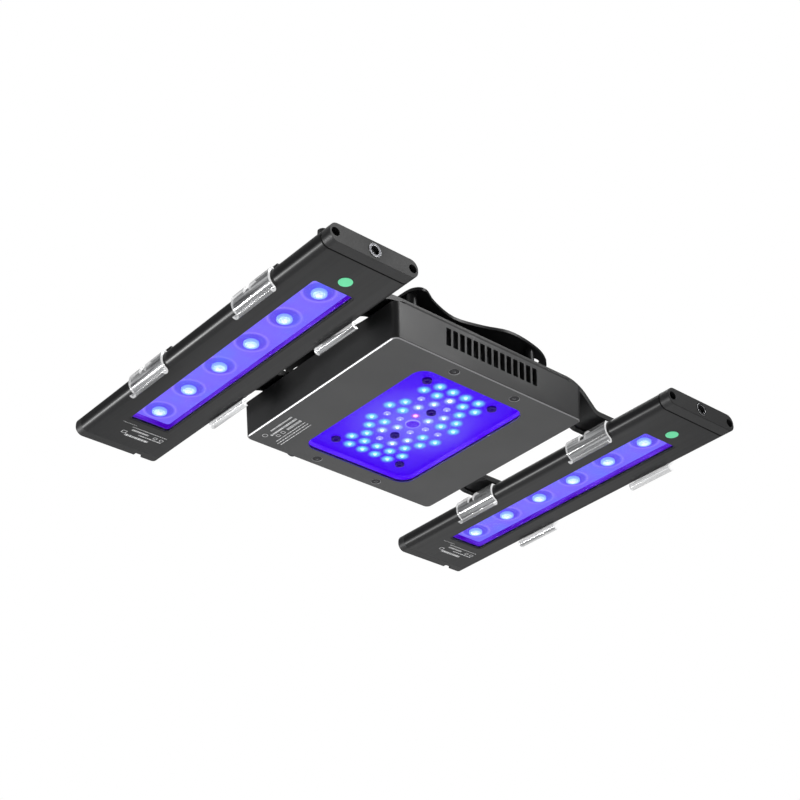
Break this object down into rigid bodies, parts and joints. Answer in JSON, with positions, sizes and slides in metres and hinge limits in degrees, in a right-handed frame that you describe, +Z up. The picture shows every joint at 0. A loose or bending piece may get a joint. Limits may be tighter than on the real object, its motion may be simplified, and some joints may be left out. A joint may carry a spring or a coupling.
{
  "type": "led aquarium light",
  "caption": "Square LED panel under a bent-strap bracket, with a slim LED bar held on each side in clear clips; hangs from a bolted plate and lights downward.",
  "frame": {"origin": "centre of the hanger plate's top face, where the bolts hold it up", "axes": "+Z up, light shines down; +X across from the left bar to the right bar; both bars run along Y with their sockets at -Y"},
  "size_m": [0.3958, 0.3113, 0.0613],
  "materials": {
    "black_metal": "satin powder coat",
    "cap_plastic": "satin moulded",
    "strap_black": "satin",
    "black_rubber": "matt",
    "fan_plastic": "matt moulded",
    "window_clear": "clear, polished",
    "clip_clear": "clear, polished",
    "board_white": "solder mask",
    "board_green": "solder mask",
    "chip_black": "moulded",
    "led_lens": "moulded lens",
    "raw_aluminium": "extruded",
    "bright_steel": "machined",
    "black_steel": "black oxide",
    "inlet_metal": "satin",
    "chrome_ring": "polished",
    "contact_gold": "plated",
    "copper_winding": "enamelled",
    "bearing_brass": "sintered",
    "wire_red": "PVC sleeve",
    "marker_green": "printed label"
  },
  "bodies": {
    "fixture": {"panel_housing": "black_metal", "window_gasket": "black_rubber", "window_cover": "window_clear", "led_board": "board_white", "led_emitters": "led_lens", "centre_emitter": "led_lens", "board_screws": "bright_steel", "heat_sink": "raw_aluminium", "fan_frame": "fan_plastic", "fan_stator": "copper_winding", "fan_bearing": "bearing_brass", "fan_screws": "black_steel", "control_board": "board_green", "board_parts": "chip_black", "board_rails": "black_metal", "inner_wires": "wire_red", "face_screws": "black_steel", "top_lid": "black_metal", "lid_screws": "black_steel", "power_inlet": "inlet_metal", "inlet_nut": "bright_steel", "inlet_pins": "contact_gold", "near_strap": "strap_black", "far_strap": "strap_black", "strap_screws": "bright_steel", "hanger_posts": "strap_black", "hanger_plate": "strap_black", "hanger_screws": "bright_steel", "clip_screws": "bright_steel", "left_near_clip": "clip_clear", "left_far_clip": "clip_clear", "right_near_clip": "clip_clear", "right_far_clip": "clip_clear"},
    "fan": {"fan_rotor": "fan_plastic", "fan_shaft": "bright_steel"},
    "left_bar": {"left_bar_body": "black_metal", "left_near_cap": "cap_plastic", "left_far_cap": "cap_plastic", "left_cap_screws": "black_steel", "left_top_stud": "black_rubber", "left_socket": "chrome_ring", "left_socket_pin": "contact_gold", "left_bar_gasket": "black_rubber", "left_bar_cover": "window_clear", "left_led_strip": "board_white", "left_led_pucks": "led_lens", "left_marker_dot": "marker_green"},
    "right_bar": {"right_bar_body": "black_metal", "right_near_cap": "cap_plastic", "right_far_cap": "cap_plastic", "right_cap_screws": "black_steel", "right_top_stud": "black_rubber", "right_socket": "chrome_ring", "right_socket_pin": "contact_gold", "right_bar_gasket": "black_rubber", "right_bar_cover": "window_clear", "right_led_strip": "board_white", "right_led_pucks": "led_lens", "right_marker_dot": "marker_green"}
  },
  "joints": [
    {"name": "fan_spin", "type": "hinge", "parent": "fixture", "child": "fan", "pos_m": [0, 0.00525, -0.0304], "axis": [0, 0, 1], "continuous": true},
    {"name": "left_bar_slide", "type": "slide", "parent": "fixture", "child": "left_bar", "axis": [0, 1, 0], "range_m": [-0.045, 0.045]},
    {"name": "right_bar_slide", "type": "slide", "parent": "fixture", "child": "right_bar", "axis": [0, 1, 0], "range_m": [-0.045, 0.045]}
  ]
}
